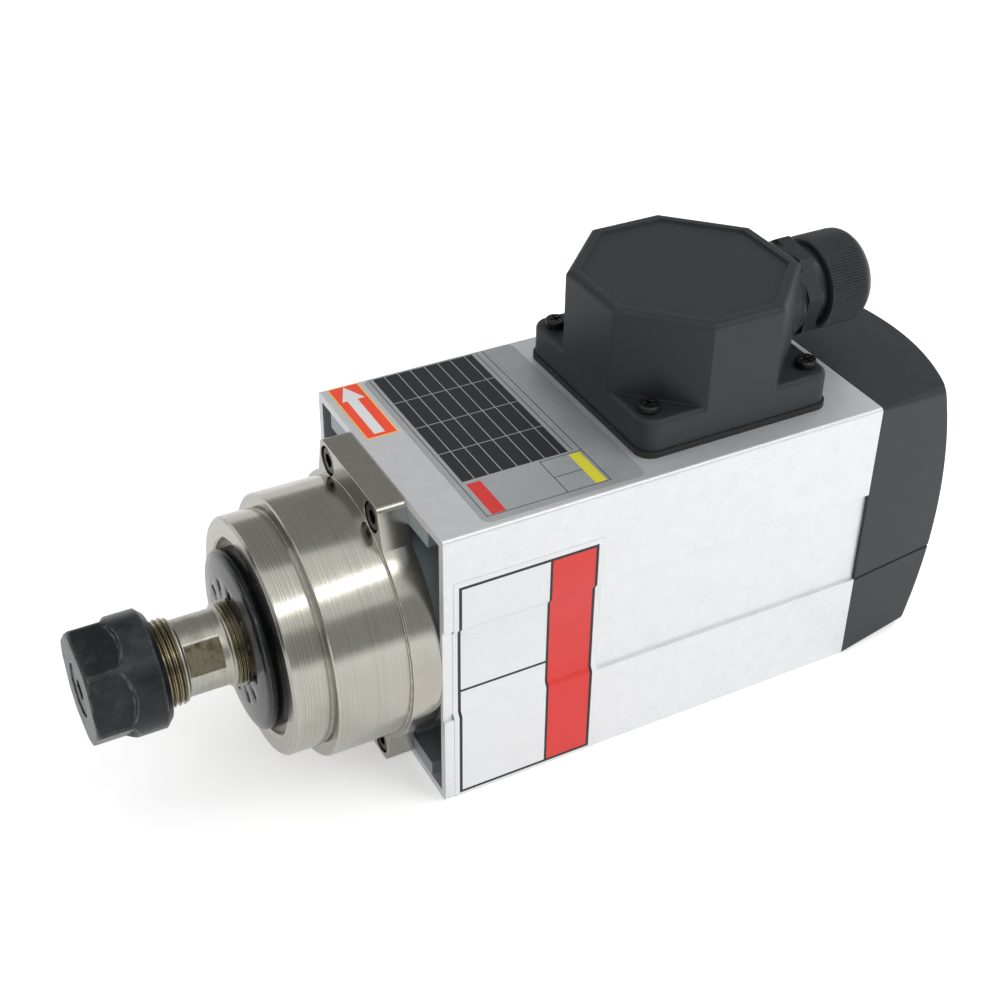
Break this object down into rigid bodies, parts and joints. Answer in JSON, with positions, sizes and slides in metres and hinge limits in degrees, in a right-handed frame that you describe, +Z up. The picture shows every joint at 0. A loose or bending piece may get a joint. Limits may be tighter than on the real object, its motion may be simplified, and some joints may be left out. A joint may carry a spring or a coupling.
{
  "type": "motor spindle",
  "caption": "Air cooled motor spindle: square aluminium body, round steel nose, collet chuck with a hexagon nut, terminal box on top and a slatted fan cover behind.",
  "frame": {"origin": "on the spindle axis, in the plane of the flange face against which the nose pilot stands", "axes": "+X along the spindle axis from the nose to the fan, +Z up through the terminal box, +Y across"},
  "size_m": [0.2718, 0.082, 0.13],
  "materials": {
    "anodised_aluminium": "clear anodised, bead blasted extrusion",
    "turned_steel": "fine turned steel with a light sheen",
    "polished_dark_steel": "polished dark steel",
    "ground_steel": "ground and turned shaft steel",
    "nut_steel": "hardened dark brown steel, bright at worn corners",
    "collet_steel": "ground spring steel",
    "bearing_steel": "ground bearing steel",
    "cage_plastic": "brown moulded cage",
    "lamination_steel": "stacked electrical steel",
    "copper_winding": "varnished copper wire",
    "cast_aluminium": "die cast aluminium",
    "spring_steel": "spring steel",
    "black_plastic": "black moulded nylon",
    "grey_plastic": "dark grey satin moulding",
    "black_rubber": "black rubber",
    "black_screw": "black oxide steel",
    "zinc_steel": "zinc plated steel",
    "brass": "bright brass",
    "lead_insulation": "black wire insulation with tinned lugs",
    "gland_grey": "grey moulded nylon"
  },
  "bodies": {
    "housing": {"body_shell": "anodised_aluminium", "front_housing": "turned_steel", "flange_screws": "black_screw", "front_bearing_cap": "turned_steel", "front_bearing_outer_rings": "bearing_steel", "front_outer_spacer": "bearing_steel", "stator_core": "lamination_steel", "stator_windings": "copper_winding", "rear_bracket": "cast_aluminium", "rear_bracket_screws": "black_screw", "rear_bearing_outer_ring": "bearing_steel", "wave_spring": "spring_steel", "fan_cover": "grey_plastic", "fan_cover_screws": "black_screw", "terminal_gasket": "black_rubber", "terminal_cover": "grey_plastic", "terminal_cover_screws": "black_screw", "lead_grommet": "black_rubber", "terminal_block": "black_plastic", "terminal_studs": "brass", "terminal_nuts": "brass", "motor_leads": "lead_insulation", "earth_screw": "zinc_steel", "gland_body": "gland_grey", "gland_washer": "black_rubber"},
    "spindle": {"shaft": "ground_steel", "labyrinth_nut": "polished_dark_steel", "front_bearing_inner_rings": "bearing_steel", "front_inner_spacer": "bearing_steel", "rotor_core": "lamination_steel", "rotor_end_rings": "cast_aluminium", "rear_bearing_inner_ring": "bearing_steel", "fan": "black_plastic", "fan_circlip": "spring_steel"},
    "front_balls": {"front_bearing_balls": "bearing_steel", "front_bearing_cages": "cage_plastic"},
    "rear_balls": {"rear_bearing_balls": "bearing_steel", "rear_bearing_cage": "cage_plastic"},
    "collet": {"collet": "collet_steel"},
    "collet_nut": {"collet_nut": "nut_steel"},
    "gland_insert": {"gland_claws": "black_plastic", "gland_seal": "black_rubber"},
    "gland_nut": {"gland_dome_nut": "gland_grey"}
  },
  "joints": [
    {"name": "spindle_spin", "type": "hinge", "parent": "housing", "child": "spindle", "pos_m": [0, 0, 0], "axis": [1, 0, 0], "continuous": true},
    {"name": "front_ball_spin", "type": "hinge", "parent": "housing", "child": "front_balls", "pos_m": [0, 0, 0], "axis": [1, 0, 0], "continuous": true},
    {"name": "rear_ball_spin", "type": "hinge", "parent": "housing", "child": "rear_balls", "pos_m": [0, 0, 0], "axis": [1, 0, 0], "continuous": true},
    {"name": "collet_draw", "type": "slide", "parent": "spindle", "child": "collet", "axis": [-1, 0, 0], "range_m": [0, 0.01201]},
    {"name": "nut_turn", "type": "hinge", "parent": "collet", "child": "collet_nut", "pos_m": [0, 0, 0], "axis": [-1, 0, 0], "range_deg": [0, 2880]},
    {"name": "gland_draw", "type": "slide", "parent": "housing", "child": "gland_insert", "axis": [1, 0, 0], "range_m": [0, 0.00751]},
    {"name": "gland_nut_turn", "type": "hinge", "parent": "gland_insert", "child": "gland_nut", "pos_m": [0, 0, 0.0679], "axis": [1, 0, 0], "range_deg": [0, 1800]}
  ],
  "couplings": [
    {"joint": "front_ball_spin", "follows": "spindle_spin", "ratio": 0.4139},
    {"joint": "rear_ball_spin", "follows": "spindle_spin", "ratio": 0.38},
    {"joint": "collet_draw", "follows": "nut_turn", "m_per_rad": 0.00023873},
    {"joint": "gland_draw", "follows": "gland_nut_turn", "m_per_rad": 0.00023873}
  ]
}
